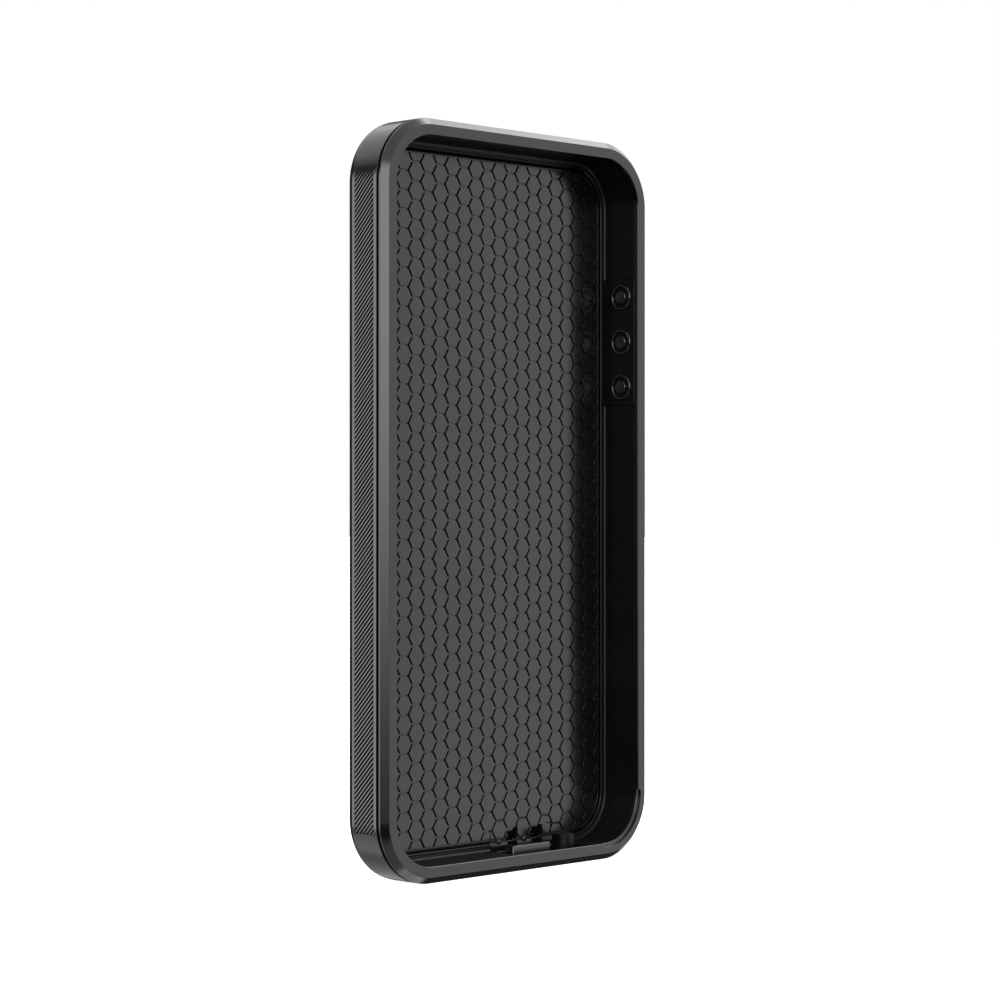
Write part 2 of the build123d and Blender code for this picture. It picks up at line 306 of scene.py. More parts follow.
def bridge(bm, rings, closed=False, open_side=None):
    """Faces from each ring of points to the next, and from the last to the first if closed. The side
    that starts at point open_side gets none."""
    count = len(rings[0])
    if closed:
        rings = rings + rings[:1]
    for ring, following in zip(rings, rings[1:]):
        for i in range(count):
            if i != open_side:
                j = (i + 1) % count
                bm.faces.new((ring[i], ring[j], following[j], following[i]))


def skin(bm, rings):
    """Closed tube through rings of points, with both ends filled."""
    bridge(bm, rings)
    bm.faces.new(reversed(rings[0]))
    bm.faces.new(rings[-1])


def stations_to_rings(bm, path, profile):
    """A ring of points at each station. profile is a list of (inset, depth), or a function of the
    station's number that gives such a list."""
    rings = []
    for number, station in enumerate(path):
        points = profile(number) if callable(profile) else profile
        rings.append([bm.verts.new(on_outline(station, *point)) for point in points])
    return rings


def sweep(bm, path, profile, closed=True):
    """Skin of a profile carried along a path."""
    rings = stations_to_rings(bm, path, profile)
    if closed:
        bridge(bm, rings, closed=True)
    else:
        skin(bm, rings)


def rounded_rectangle(width, height, radius):
    """Outline points, anticlockwise, round the middle."""
    points = []
    steps = 2 * ROUND_STEPS
    radius = max(min(radius, width / 2, height / 2), LEAST_RADIUS)
    for quarter, (sign_u, sign_v) in enumerate(((1, 1), (-1, 1), (-1, -1), (1, -1))):
        for step in range(steps + 1):
            angle = math.pi / 2 * (quarter + step / steps)
            u = sign_u * (width / 2 - radius) + radius * math.cos(angle)
            v = sign_v * (height / 2 - radius) + radius * math.sin(angle)
            points.append((u, v))
    return points


def loft(bm, width, height, radius, layers, place):
    """Solid through rounded rectangles. Each layer is (inset, rise); place turns (u, v, rise) into a
    point."""
    rings = []
    for inset, rise in layers:
        outline = rounded_rectangle(width - 2 * inset, height - 2 * inset, radius - inset)
        rings.append([bm.verts.new(place(u, v, rise)) for u, v in outline])
    skin(bm, rings)


def lathe(bm, profile, place, closed=True, steps=LATHE_STEPS):
    """Solid of revolution. profile is (radius, rise) from bottom to top, place as for loft. The ends
    of a profile that isn't closed become flat discs."""
    rings = []
    for radius, rise in profile:
        angles = [2 * math.pi * i / steps for i in range(steps)]
        points = [(radius * math.cos(a), radius * math.sin(a), rise) for a in angles]
        rings.append([bm.verts.new(place(*point)) for point in points])
    if closed:
        bridge(bm, rings, closed=True)
    else:
        skin(bm, rings)


def quarter_turn(steps):
    """Even angles from 0 to a right angle."""
    return [math.pi / 2 * i / steps for i in range(steps + 1)]


def round_layers(size):
    """(inset, rise) steps of a quarter round at the top edge of a loft, of the given size."""
    angles = quarter_turn(ROUND_STEPS)
    return [(size * (1 - math.cos(a)), size * math.sin(a)) for a in angles]


def add_block(bm, low, high):
    """Plain box between two corners, used as a cutter."""
    size = Vector(high) - Vector(low)
    middle = (Vector(high) + Vector(low)) / 2
    matrix = Matrix.Translation(middle) @ Matrix.Diagonal((*size, 1))
    bmesh.ops.create_cube(bm, size=1, matrix=matrix)


def tidy(bm):
    """Merges doubled points, drops what has no area and turns every face outwards."""
    bmesh.ops.remove_doubles(bm, verts=bm.verts, dist=MERGE / 2)
    bmesh.ops.dissolve_degenerate(bm, edges=bm.edges, dist=MERGE / 2)
    bmesh.ops.recalc_face_normals(bm, faces=bm.faces)


def mesh_object(name, bm):
    """New object from a shape in millimetres."""
    tidy(bm)
    bm.transform(Matrix.Scale(MM, 4))
    mesh = bpy.data.meshes.new(name)
    bm.to_mesh(mesh)
    bm.free()
    piece = bpy.data.objects.new(name, mesh)
    bpy.context.scene.collection.objects.link(piece)
    return piece


def combine(piece, cutter_bm, operation="DIFFERENCE"):
    """Cuts a shape out of a piece, or joins it on, and keeps only the result."""
    cutter = mesh_object("cutter", cutter_bm)
    step = piece.modifiers.new("cut", "BOOLEAN")
    step.operation = operation
    step.solver = "EXACT"
    step.object = cutter
    bpy.context.view_layer.update()
    result = piece.evaluated_get(bpy.context.evaluated_depsgraph_get())
    mesh = bpy.data.meshes.new_from_object(result)
    piece.modifiers.remove(step)
    old = piece.data
    piece.data = mesh
    mesh.name = piece.name
    bpy.data.meshes.remove(old)
    bpy.data.objects.remove(cutter)


def join(piece, other):
    """Moves another object's mesh into a piece."""
    bm = bmesh.new()
    bm.from_mesh(piece.data)
    bm.from_mesh(other.data)
    bm.to_mesh(piece.data)
    bm.free()
    mesh = other.data
    bpy.data.objects.remove(other)
    bpy.data.meshes.remove(mesh)


def dress(piece, material, body, nodes, sharp=32):
    """Shading, material and place in the frame."""
    mesh = piece.data
    mesh.shade_smooth()
    mesh.set_sharp_from_angle(angle=math.radians(sharp))
    mesh.materials.clear()
    mesh.materials.append(material)
    even = piece.modifiers.new("even_normals", "WEIGHTED_NORMAL")
    even.keep_sharp = True
    even.weight = 80
    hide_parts(*nodes)
    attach(piece, body)
    return piece


def dress_cad(node, material, bevel=0.0):
    """Material, and softened edges where a bevel is given, on a CAD node that keeps its own mesh."""
    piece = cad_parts[node]
    piece.data.materials.clear()
    piece.data.materials.append(material)
    if bevel:
        weld = piece.modifiers.new("weld", "WELD")
        weld.merge_threshold = MERGE * MM
        soften = piece.modifiers.new("soften", "BEVEL")
        soften.width = bevel * MM
        soften.segments = 3
        soften.limit_method = "ANGLE"
        soften.angle_limit = math.radians(40)
        even = piece.modifiers.new("even_normals", "WEIGHTED_NORMAL")
        even.weight = 80


# ---------------------------------------------------------------- materials

class Nodes:
    """Short way to build a node tree."""

    def __init__(self, tree):
        self.tree = tree
        tree.nodes.clear()

    def add(self, kind, **values):
        node = self.tree.nodes.new(kind)
        for key, value in values.items():
            setattr(node, key, value)
        return node

    def link(self, source, target):
        self.tree.links.new(source, target)

    def math(self, operation, first, second=None, third=None):
        node = self.add("ShaderNodeMath", operation=operation)
        for socket, value in zip(node.inputs, (first, second, third)):
            if value is None:
                continue
            if isinstance(value, (int, float)):
                socket.default_value = value
            else:
                self.link(value, socket)
        return node.outputs[0]

    def ramp(self, value, low, high, out_low=0.0, out_high=1.0):
        node = self.add("ShaderNodeMapRange", interpolation_type="SMOOTHSTEP")
        self.link(value, node.inputs["Value"])
        node.inputs["From Min"].default_value = low
        node.inputs["From Max"].default_value = high
        node.inputs["To Min"].default_value = out_low
        node.inputs["To Max"].default_value = out_high
        return node.outputs["Result"]

    def noise(self, vector, scale, detail=3.0):
        node = self.add("ShaderNodeTexNoise")
        node.inputs["Scale"].default_value = scale
        node.inputs["Detail"].default_value = detail
        self.link(vector, node.inputs["Vector"])
        return node.outputs["Fac"]


def black_polymer(name, base, roughness, spread, grain_scale, grain_height, ior=1.42):
    """Black plastic or rubber: cloudy roughness, faint mottling of the colour and a fine moulded grain.
    grain_height is in millimetres, spread is how far the roughness wanders either way."""
    cloud_scale = 60.0
    fine_scale = 900.0
    cloud_share = 0.65
    mottling = 0.2
    material = bpy.data.materials.new(name)
    material.use_nodes = True
    nodes = Nodes(material.node_tree)
    output = nodes.add("ShaderNodeOutputMaterial")
    shader = nodes.add("ShaderNodeBsdfPrincipled")
    nodes.link(shader.outputs[0], output.inputs["Surface"])
    place = nodes.add("ShaderNodeTexCoord").outputs["Object"]
    cloud = nodes.noise(place, cloud_scale)
    fine = nodes.noise(place, fine_scale, 2.0)
    mixed = nodes.math("MULTIPLY_ADD", fine, 1 - cloud_share, nodes.math("MULTIPLY", cloud, cloud_share))
    rough = nodes.ramp(mixed, 0.35, 0.65, roughness - spread, roughness + spread)
    nodes.link(rough, shader.inputs["Roughness"])
    colour = nodes.add("ShaderNodeMix", data_type="RGBA")
    nodes.link(nodes.ramp(cloud, 0.3, 0.7), colour.inputs[0])
    colour.inputs[6].default_value = (*[(1 - mottling) * c for c in base], 1)
    colour.inputs[7].default_value = (*[(1 + mottling) * c for c in base], 1)
    nodes.link(colour.outputs[2], shader.inputs["Base Color"])
    shader.inputs["IOR"].default_value = ior
    bump = nodes.add("ShaderNodeBump")
    bump.inputs["Strength"].default_value = 1.0
    bump.inputs["Distance"].default_value = grain_height * MM
    nodes.link(nodes.noise(place, grain_scale, 2.0), bump.inputs["Height"])
    nodes.link(bump.outputs[0], shader.inputs["Normal"])
    return material


def make_materials():
    """Every material, by the name of its use."""
    shell = (0.0018, 0.0018, 0.002)
    soft = (0.002, 0.002, 0.0022)
    soft_ior = 1.27
    return {
        "hard_shell": black_polymer("gloss_shell", shell, 0.12, 0.02, 1500, 0.0001),
        "liner_tpu": black_polymer("matte_liner", soft, 0.42, 0.04, 1800, 0.0001, soft_ior),
        "bead_tpu": black_polymer("satin_bead", soft, 0.25, 0.03, 1800, 0.0001, soft_ior),
        "ring_tpu": black_polymer("gloss_rings", soft, 0.16, 0.03, 1800, 0.0001, 1.6),
        "pad_tpu": black_polymer("gloss_pad", soft, 0.2, 0.03, 1800, 0.0001),
        "grip_rubber": black_polymer("grip_rubber", soft, 0.15, 0.03, 3000, 0.0001, 1.48),
        "button_plastic": black_polymer("satin_button", shell, 0.28, 0.04, 3500, 0.0004),
        "plug_rubber": black_polymer("plug_rubber", soft, 0.24, 0.04, 2500, 0.0003, 1.5),
        "jack_rubber": black_polymer("jack_rubber", soft, 0.35, 0.04, 2500, 0.0003, 1.2),
        "seal_rubber": black_polymer("seal_rubber", soft, 0.45, 0.05, 3500, 0.0006),
        "hinge_metal": black_polymer("hinge_coating", shell, 0.45, 0.05, 4000, 0.0003, 1.3),
    }


# ---------------------------------------------------------------- pieces

def build_bezel(material):
    """Chamfered ring with a lip and a finger notch, a ledge with rounded ends in the lip's edge."""
    notch_width = LIP_INSET - NOTCH_INSET
    reaches = [notch_width * (1 - math.cos(angle)) for angle in quarter_turn(NOTCH_STEPS)[:-1]]
    before = [bottom_station(NOTCH_START_X - notch_width + reach) for reach in reaches]
    corner = arc_stations("lower_right")
    after = [side_station(1, NOTCH_TOP_Z + notch_width - reach) for reach in reversed(reaches)]
    rest = outline_of(*CORNERS[1:])
    middle = len(before) + (len(corner) - 1) / 2

    def share(number):
        """How much of the notch's width is open at a station: all in the corner, a quarter round at
        each end and nothing beyond."""
        past = max(abs(number - middle) - (len(corner) - 1) / 2, 0)
        return math.cos(math.pi / 2 * min(past / NOTCH_STEPS, 1))

    def profile(number):
        open_share = share(number)
        ledge = LIP_INSET - max(open_share * notch_width, LEAST_NOTCH)
        return rounded([
            (TONGUE_OUTER_INSET, BEZEL_BACK, 0),
            (0, BEZEL_BACK, BEZEL_SEAM_ROUND),
            (0, BEZEL_CHAMFER, CHAMFER_SIDE_ROUND),
            (BEZEL_CHAMFER, 0, CHAMFER_FRONT_ROUND),
            (ledge, 0, LIP_ROUND * (1 - open_share) + NOTCH_ROUND * open_share),
            (ledge, NOTCH_DEPTH, NOTCH_ROUND),
            (LIP_INSET, NOTCH_DEPTH, LIP_ROUND),
            (LIP_INSET, LIP_THICKNESS, LIP_ROUND),
            (TRAY_WALL, LIP_THICKNESS, 0),
            (TRAY_WALL, BEZEL_BACK, 0),
        ])

    bm = bmesh.new()
    sweep(bm, before + corner + after + rest, profile)
    piece = mesh_object("bezel", bm)
    return dress(piece, material, "case", ["front_bezel"])


def build_gasket(material):
    """Seal in the seam between bezel and tray."""
    low, high = box_mm("seam_gasket")
    outer = RIGHT_X - high.x
    front = low.y - FRONT_Y
    back = high.y - FRONT_Y
    inner = TONGUE_OUTER_INSET - FIT_GAP
    shape = rounded([
        (outer, front, GASKET_ROUND),
        (inner, front, 0),
        (inner, back, 0),
        (outer, back, GASKET_ROUND),
    ])
    bm = bmesh.new()
    sweep(bm, outline_of(*CORNERS), shape)
    piece = mesh_object("gasket", bm)
    return dress(piece, material, "case", ["seam_gasket"])


def grip_limits(node):
    """(front depth, back depth, low z, high z) of a grip panel."""
    low, high = box_mm(node)
    return low.y - FRONT_Y, high.y - FRONT_Y, low.z, high.z


def arc_angle(z):
    """Angle below the horizontal, in degrees, at which the lower corner's outline passes z."""
    return math.degrees(math.asin((CORNER_RADIUS - z) / CORNER_RADIUS))


def build_tray(material):
    """Hard outer tray: side walls with grip recesses and a finger scoop, and a closed rounded back."""
    front, back, low_z, _ = grip_limits("grip_panel_left")
    right_top = grip_limits("grip_panel_right")[3]
    end = arc_angle(low_z)
    caps_low = box_mm("lower_button_cap")[0].z - SCOOP_MARGIN
    caps_high = box_mm("upper_button_cap")[1].z + SCOOP_MARGIN
    path = []
    recess = []

    def run(stations, depth):
        """Adds stations that share one recess depth."""
        path.extend(stations)
        recess.extend([depth] * len(stations))

    def split(corner, angle, first_depth, last_depth):
        """Adds a corner whose recess depth changes at an angle."""
        stations = arc_stations(corner, extra=(angle,))
        turn = [math.degrees(math.atan2(s[3], s[2])) % 360 for s in stations]
        at = min(range(len(turn)), key=lambda i: abs(turn[i] - angle % 360))
        run(stations[:at + 1], first_depth)
        run(stations[at:], last_depth)

    split("lower_right", -end, 0, GRIP_RECESS)
    run([side_station(1, right_top)], GRIP_RECESS)
    run([side_station(1, right_top), side_station(1, caps_low)], 0)
    run([side_station(1, caps_low), side_station(1, caps_high)], SCOOP_DEPTH)
    run([side_station(1, caps_high)], 0)
    run(arc_stations("upper_right"), 0)
    split("upper_left", 180 - end, 0, GRIP_RECESS)
    split("lower_left", 180 + end, GRIP_RECESS, 0)

    back_arc = []
    for angle in quarter_turn(BACK_STEPS):
        depth = THICKNESS - BACK_EDGE_ROUND * (1 - math.sin(angle))
        back_arc.append((BACK_EDGE_ROUND * (1 - math.cos(angle)), depth))

    def profile(number):
        """Section with as many points whether or not it has a recess."""
        depth = recess[number]
        outer = rounded([
            (TONGUE_OUTER_INSET - FIT_GAP, SEAM_BACK, 0),
            (0, SEAM_BACK, TRAY_SEAM_ROUND),
            (0, front, GRIP_EDGE_ROUND if depth else 0),
            (depth, front, 0),
            (depth, back, 0),
            (0, back, GRIP_EDGE_ROUND if depth else 0),
            (0, THICKNESS, 0),
        ])[:-1]
        if not depth:
            level = [p for p in outer if p[1] < front - MERGE]
            repeats = ROUND_STEPS + 2
            outer = level + [(0, front)] * repeats + [(0, back)] * repeats
        return outer + back_arc + [(TRAY_WALL, TRAY_FLOOR_DEPTH), (TRAY_WALL, SEAM_BACK)]

    bm = bmesh.new()
    rings = stations_to_rings(bm, path, profile)
    last_of_back = len(rings[0]) - 3
    bridge(bm, rings, closed=True, open_side=last_of_back)
    bmesh.ops.remove_doubles(bm, verts=bm.verts, dist=MERGE)
    bmesh.ops.dissolve_degenerate(bm, edges=bm.edges, dist=MERGE)
    rims = [e for e in bm.edges if e.is_boundary]
    bmesh.ops.holes_fill(bm, edges=rims)
    piece = mesh_object("tray", bm)
    cut_button_windows(piece)
    cut_port(piece)
    return dress(piece, material, "case", ["back_tray"])


def cut_button_windows(piece):
    """Pill-shaped holes in the right wall for the button caps."""
    for name in BUTTONS:
        low, high = box_mm(name + "_button_cap")
        _, middle_y, middle_z = middle_mm(name + "_button_cap")
        length = high.z - low.z + 2 * CAP_GAP
        height = high.y - low.y + 2 * CAP_GAP
        cutter = bmesh.new()

        def place(u, v, rise):
            return (RIGHT_X + rise, middle_y + v, middle_z + u)

        loft(cutter, length, height, height / 2, [(0, -TRAY_WALL - WINDOW_OVERCUT), (0, OVERCUT)], place)
        combine(piece, cutter)


def port_limits():
    """X range of the port opening."""
    return DOOR_LEFT_X - DOOR_GAP, DOOR_RIGHT_X + DOOR_GAP


def cut_port(piece):
    """Opening for the door's plate and leaf, with a ramp down to each hinge arm."""
    left, right = port_limits()
    front_y = FRONT_Y + SEAM_BACK - OVERCUT
    leaf_y = HIGH.y - 2 * KNUCKLE_RADIUS - FIT_GAP
    back_y = HIGH.y + OVERCUT
    for low, high in (
        ((left, front_y, -OVERCUT), (right, back_y, TRAY_WALL + FIT_GAP)),
        ((left, leaf_y, -OVERCUT), (right, back_y, ARM_TOP_Z)),
    ):
        cutter = bmesh.new()
        add_block(cutter, low, high)
        combine(piece, cutter)
    hinge_y = HIGH.y - KNUCKLE_RADIUS
    reach = KNUCKLE_RADIUS + FIT_GAP
    for start, end in TAB_RANGES:

        def place(u, v, rise):
            return (start + rise, hinge_y + u, HINGE_Z + v)

        cutter = bmesh.new()
        lathe(cutter, [(reach, -FIT_GAP), (reach, end - start + FIT_GAP)], place, closed=False)
        combine(piece, cutter)
    floor_y = FRONT_Y + TRAY_FLOOR_DEPTH
    section = [
        (floor_y - LEAST_OVERLAP, ARM_NOTCH_TOP_Z),
        (floor_y - LEAST_OVERLAP, ARM_TOP_Z - OVERCUT),
        (floor_y + RAMP_DEPTH, ARM_TOP_Z - OVERCUT),
        (floor_y + RAMP_DEPTH, ARM_TOP_Z),
    ]
    for low, high in ARM_RANGES:
        cutter = bmesh.new()
        skin(cutter, [[cutter.verts.new((x, y, z)) for y, z in section] for x in (low, high)])
        combine(piece, cutter)


def build_grip(name, side, node, material):
    """Shallow channel round the side, filled with slanted rounded ribs."""
    front, back, low_z, high_z = grip_limits(node)
    arc = math.radians(arc_angle(low_z)) * CORNER_RADIUS
    straight_end = min(high_z, HEIGHT - CORNER_RADIUS)
    straight = straight_end - CORNER_RADIUS
    total = arc + straight + (arc if high_z > straight_end else 0)

    def station_at(length):
        """Station at a distance along the panel from its lower end."""
        if length < arc:
            turn = (length - arc) / CORNER_RADIUS
            middle_z = CORNER_RADIUS
        elif length > arc + straight:
            turn = (length - arc - straight) / CORNER_RADIUS
            middle_z = straight_end
        else:
            return side_station(side, CORNER_RADIUS + length - arc)
        return (side * (RIGHT_X - CORNER_RADIUS), middle_z, side * math.cos(turn), math.sin(turn))

    def channel(floor):
        """Section of the panel with its floor at an inset."""
        return rounded([
            (PANEL_INSET, front, PANEL_ROUND),
            (PANEL_INSET, front + SIDE_RIM, RIM_ROUND),
            (floor, front + SIDE_RIM, 0),
            (floor, back - SIDE_RIM, 0),
            (PANEL_INSET, back - SIDE_RIM, RIM_ROUND),
            (PANEL_INSET, back, PANEL_ROUND),
            (PANEL_THICKNESS, back, 0),
            (PANEL_THICKNESS, front, 0),
        ], FINE_STEPS)

    bm = bmesh.new()
    arc_lengths = [arc * i / PANEL_STEPS for i in range(PANEL_STEPS + 1)]
    stops = [(length, RIM_FLOOR) for length in (0.0, END_RIM)]
    stops += [(END_RIM, BED_INSET)]
    stops += [(length, BED_INSET) for length in arc_lengths if length > END_RIM]
    if high_z > straight_end:
        stops += [(total - length, BED_INSET) for length in reversed(arc_lengths) if length > END_RIM]
    stops += [(total - END_RIM, BED_INSET)]
    stops += [(length, RIM_FLOOR) for length in (total - END_RIM, total)]
    rings = []
    for length, floor in stops:
        station = station_at(length)
        rings.append([bm.verts.new(on_outline(station, *point)) for point in channel(floor)])
    skin(bm, rings)
    piece = mesh_object(name, bm)

    bm = bmesh.new()
    width = back - front - SIDE_RIM
    count = int((total + width) / RIB_PITCH)
    for number in range(1, count + 1):
        reach = number * RIB_PITCH
        first = max(0.0, reach - total + END_RIM)
        last = min(width, reach - END_RIM)
        if last - first > RIB_FLAT:
            add_rib(bm, station_at, reach, front + SIDE_RIM / 2, (first, last))
    ribs = mesh_object(name + "_ribs", bm)
    join(piece, ribs)
    return dress(piece, material, "case", [node], 50)


def add_rib(bm, station_at, reach, front, limits):
    """One rib, a sawtooth with its steep side up. Its distance along the panel falls as its depth
    grows, from reach at the front."""
    rise = BED_INSET - RIB_TOP
    upper = RIB_UPPER_EDGE
    lower = RIB_UPPER_EDGE - RIB_PITCH + RIB_GAP
    section = rounded([
        (upper, 0, 0),
        (upper - RIB_LEAN, rise, RIB_CREST_ROUND),
        (upper - RIB_FLAT, rise, RIB_SHOULDER_ROUND),
        (lower, 0, 0),
    ], FINE_STEPS)
    section += [(lower, -FIT_GAP), (upper, -FIT_GAP)]
    rings = []
    for step in range(RIB_STEPS + 1):
        across = limits[0] + (limits[1] - limits[0]) * step / RIB_STEPS
        ring = []
        for along, up in section:
            station = station_at(reach - across + along)
            ring.append(bm.verts.new(on_outline(station, BED_INSET - up, front + across)))
        rings.append(ring)
    skin(bm, rings)


def liner_profile():
    """Wall behind the lip, with a cove down to a narrow flange round the floor."""
    outer = TRAY_WALL + FIT_GAP
    return rounded([
        (outer, LIP_THICKNESS + FIT_GAP, 0),
        (LINER_INNER_INSET, LIP_THICKNESS + FIT_GAP, LINER_EDGE_ROUND),
        (LINER_INNER_INSET, FLOOR_DEPTH, COVE_RADIUS),
        (FLOOR_INSET, FLOOR_DEPTH, FLANGE_ROUND),
        (FLOOR_INSET, PAD_BACK, 0),
        (outer, PAD_BACK, 0),
    ], COVE_STEPS)


def build_liner(material):
    """Soft liner in two runs, from the port to the button window and on round to the port. Its flange
    runs on below the window."""
    left, right = port_limits()
    low, high = box_mm("button_membrane")
    low_z = low.z - FIT_GAP
    high_z = high.z + FIT_GAP
    shape = liner_profile()
    bm = bmesh.new()
    first = [bottom_station(right)] + arc_stations("lower_right") + [side_station(1, low_z)]
    sweep(bm, first, shape, closed=False)
    second = [side_station(1, high_z)] + outline_of(*CORNERS[1:]) + [bottom_station(left)]
    sweep(bm, second, shape, closed=False)
    outer = TRAY_WALL + FIT_GAP
    flange = [(outer, FLOOR_DEPTH), (FLOOR_INSET, FLOOR_DEPTH), (FLOOR_INSET, PAD_BACK), (outer, PAD_BACK)]
    sweep(bm, [side_station(1, low_z + MERGE), side_station(1, high_z - MERGE)], flange, closed=False)
    piece = mesh_object("liner", bm)
    return dress(piece, material, "case", ["inner_liner"])


def build_bead(material):
    """Thin rounded frame between liner and pad."""
    left, right = port_limits()
    low, high = box_mm("floor_bead")
    front = low.y - FRONT_Y
    outer = RIGHT_X - high.x
    inner = outer + BEAD_WIDTH
    path = [bottom_station(right)] + outline_of(*CORNERS) + [bottom_station(left)]
    shape = rounded([
        (outer, PAD_BACK, 0),
        (outer, front, BEAD_ROUND),
        (inner, front, BEAD_ROUND),
        (inner, PAD_BACK, 0),
    ])
    bm = bmesh.new()
    sweep(bm, path, shape, closed=False)
    piece = mesh_object("bead", bm)
    return dress(piece, material, "case", ["floor_bead"])


def clip(polygon, start, direction):
    """The part of a polygon on the left of a line."""
    result = []
    sides = [direction[0] * (z - start[1]) - direction[1] * (x - start[0]) for x, z in polygon]
    for i, here in enumerate(polygon):
        j = (i + 1) % len(polygon)
        there = polygon[j]
        if sides[i] >= -ON_LINE:
            result.append(here)
        if min(sides[i], sides[j]) < -ON_LINE and max(sides[i], sides[j]) > ON_LINE:
            share = sides[i] / (sides[i] - sides[j])
            result.append((here[0] + share * (there[0] - here[0]), here[1] + share * (there[1] - here[1])))
    return result


def floor_outline(inset):
    """Rounded outline at an inset, as (x, z) points."""
    points = [on_outline(station, inset, 0) for station in outline_of(*CORNERS)]
    return [(x, z) for x, _, z in points]


def edges_of(polygon):
    """Start point and unit direction of every edge with a length."""
    edges = []
    for i, (x, z) in enumerate(polygon):
        next_x, next_z = polygon[(i + 1) % len(polygon)]
        length = math.hypot(next_x - x, next_z - z)
        if length > MERGE:
            edges.append(((x, z), ((next_x - x) / length, (next_z - z) / length)))
    return edges


def shrink(polygon, distance):
    """Convex polygon with every edge moved inwards."""
    result = polygon
    for (x, z), (along_x, along_z) in edges_of(polygon):
        if not result:
            return []
        result = clip(result, (x - along_z * distance, z + along_x * distance), (along_x, along_z))
    return result


def grow(polygon, distance):
    """Convex polygon with every corner moved outwards along its bisector, less far at a sharp one."""
    sharpest = 0.5
    edges = edges_of(polygon)
    result = []
    for i, (corner, (along_x, along_z)) in enumerate(edges):
        before_x, before_z = edges[i - 1][1]
        out_x = along_z + before_z
        out_z = -along_x - before_x
        scale = 2 * distance / max(out_x ** 2 + out_z ** 2, sharpest)
        result.append((corner[0] + out_x * scale, corner[1] + out_z * scale))
    return result


def polygon_area(polygon):
    """Area of a polygon whose points run anticlockwise."""
    total = 0.0
    for i, (x, z) in enumerate(polygon):
        next_x, next_z = polygon[(i + 1) % len(polygon)]
        total += x * next_z - next_x * z
    return total / 2


def hexagon(x, z):
    """Regular hexagon with level top and bottom edges."""
    angles = [math.radians(60 * i) for i in range(6)]
    return [(x + HEX_SIDE * math.cos(a), z + HEX_SIDE * math.sin(a)) for a in angles]


def tab_at(x, low_z):
    """Outline of the tab that a cell in the lowest rows belongs to, or nothing."""
    for left, right in STUDDED_TABS:
        if low_z < FIELD_INSET and left < x < right:
            return [(left, TAB_END_Z), (right, TAB_END_Z), (right, HEIGHT), (left, HEIGHT)]
    return []


def hex_cells(outline):
    """Every cell of the honeycomb, cut to the outline."""
    borders = edges_of(outline)
    pitch_x = 1.5 * HEX_SIDE
    pitch_z = math.sqrt(3) * HEX_SIDE
    reach_x = int(RIGHT_X / pitch_x) + 1
    reach_z = int(HEIGHT / 2 / pitch_z) + 1
    cells = []
    for column in range(-reach_x, reach_x + 1):
        for row in range(-reach_z, reach_z + 1):
            x = HEX_CENTRE_X + column * pitch_x
            z = MIDDLE_Z + (row + 0.5 * (column % 2)) * pitch_z
            cell = hexagon(x, z)
            tab = tab_at(x, z - pitch_z / 2)
            for start, along in edges_of(tab) if tab else borders:
                cell = clip(cell, start, along) if cell else cell
            cells.append(cell)
    return [cell for cell in cells if len(cell) > 2]


def add_cell(bm, cell):
    """Flat-topped cell with rounded edges, standing on the bottom of the grooves."""
    top = shrink(cell, GROOVE_WIDTH / 2 + CELL_ROUND)
    if len(edges_of(top)) < 3 or polygon_area(top) < SMALLEST_CELL:
        return
    floor_y = FRONT_Y + FLOOR_DEPTH
    layers = [(CELL_ROUND, GROOVE_DEPTH + FIT_GAP)]
    for angle in quarter_turn(FINE_STEPS):
        layers.append((CELL_ROUND * math.cos(angle), CELL_ROUND * (1 - math.sin(angle))))
    rings = []
    for growth, sink in layers:
        rings.append([bm.verts.new((x, floor_y + sink, z)) for x, z in grow(top, growth)])
    skin(bm, rings)


def build_pad(material):
    """Honeycomb floor inside a plain border, with tabs and notches at the port."""
    groove = FLOOR_DEPTH + GROOVE_DEPTH
    bm = bmesh.new()
    shape = rounded([
        (PAD_INSET, PAD_BACK, 0),
        (PAD_INSET, FLOOR_DEPTH + PAD_EDGE_DROP, PAD_EDGE_ROUND),
        (FIELD_INSET, FLOOR_DEPTH, CELL_ROUND),
        (FIELD_INSET, groove, 0),
    ])
    rings = stations_to_rings(bm, outline_of(*CORNERS), shape)
    bridge(bm, rings, closed=True, open_side=len(shape) - 1)
    bmesh.ops.remove_doubles(bm, verts=bm.verts, dist=MERGE)
    bmesh.ops.holes_fill(bm, edges=[e for e in bm.edges if e.is_boundary])
    piece = mesh_object("honeycomb_pad", bm)
    cells_bm = bmesh.new()
    for cell in hex_cells(floor_outline(FIELD_INSET)):
        add_cell(cells_bm, cell)
    cells = mesh_object("cells", cells_bm)
    for low_x, high_x in STUDDED_TABS:
        cutter = bmesh.new()
        low = (low_x, FRONT_Y + FLOOR_DEPTH - OVERCUT, 0)
        high = (high_x, FRONT_Y + groove, FIELD_INSET + CELL_ROUND)
        add_block(cutter, low, high)
        combine(piece, cutter)
    for target in (piece, cells):
        cut_pad(target)
    join(piece, cells)
    studs = bmesh.new()
    for low_x, high_x in STUDDED_TABS:
        add_stud(studs, (low_x + high_x) / 2, TAB_END_Z)
    join(piece, mesh_object("studs", studs))
    return dress(piece, material, "case", ["floor_pad"], 40)


def add_stud(bm, x, z):
    """Round stud with a domed head at the end of a tab."""
    floor_y = FRONT_Y + FLOOR_DEPTH

    def place(u, v, rise):
        return (x + u, floor_y - rise, z + v)

    profile = [(STUD_RADIUS, -GROOVE_DEPTH)]
    for angle in quarter_turn(DOME_STEPS)[:-1]:
        profile.append((STUD_RADIUS * math.cos(angle), STUD_RISE * math.sin(angle)))
    lathe(bm, profile, place, closed=False, steps=LATHE_STEPS // 2)


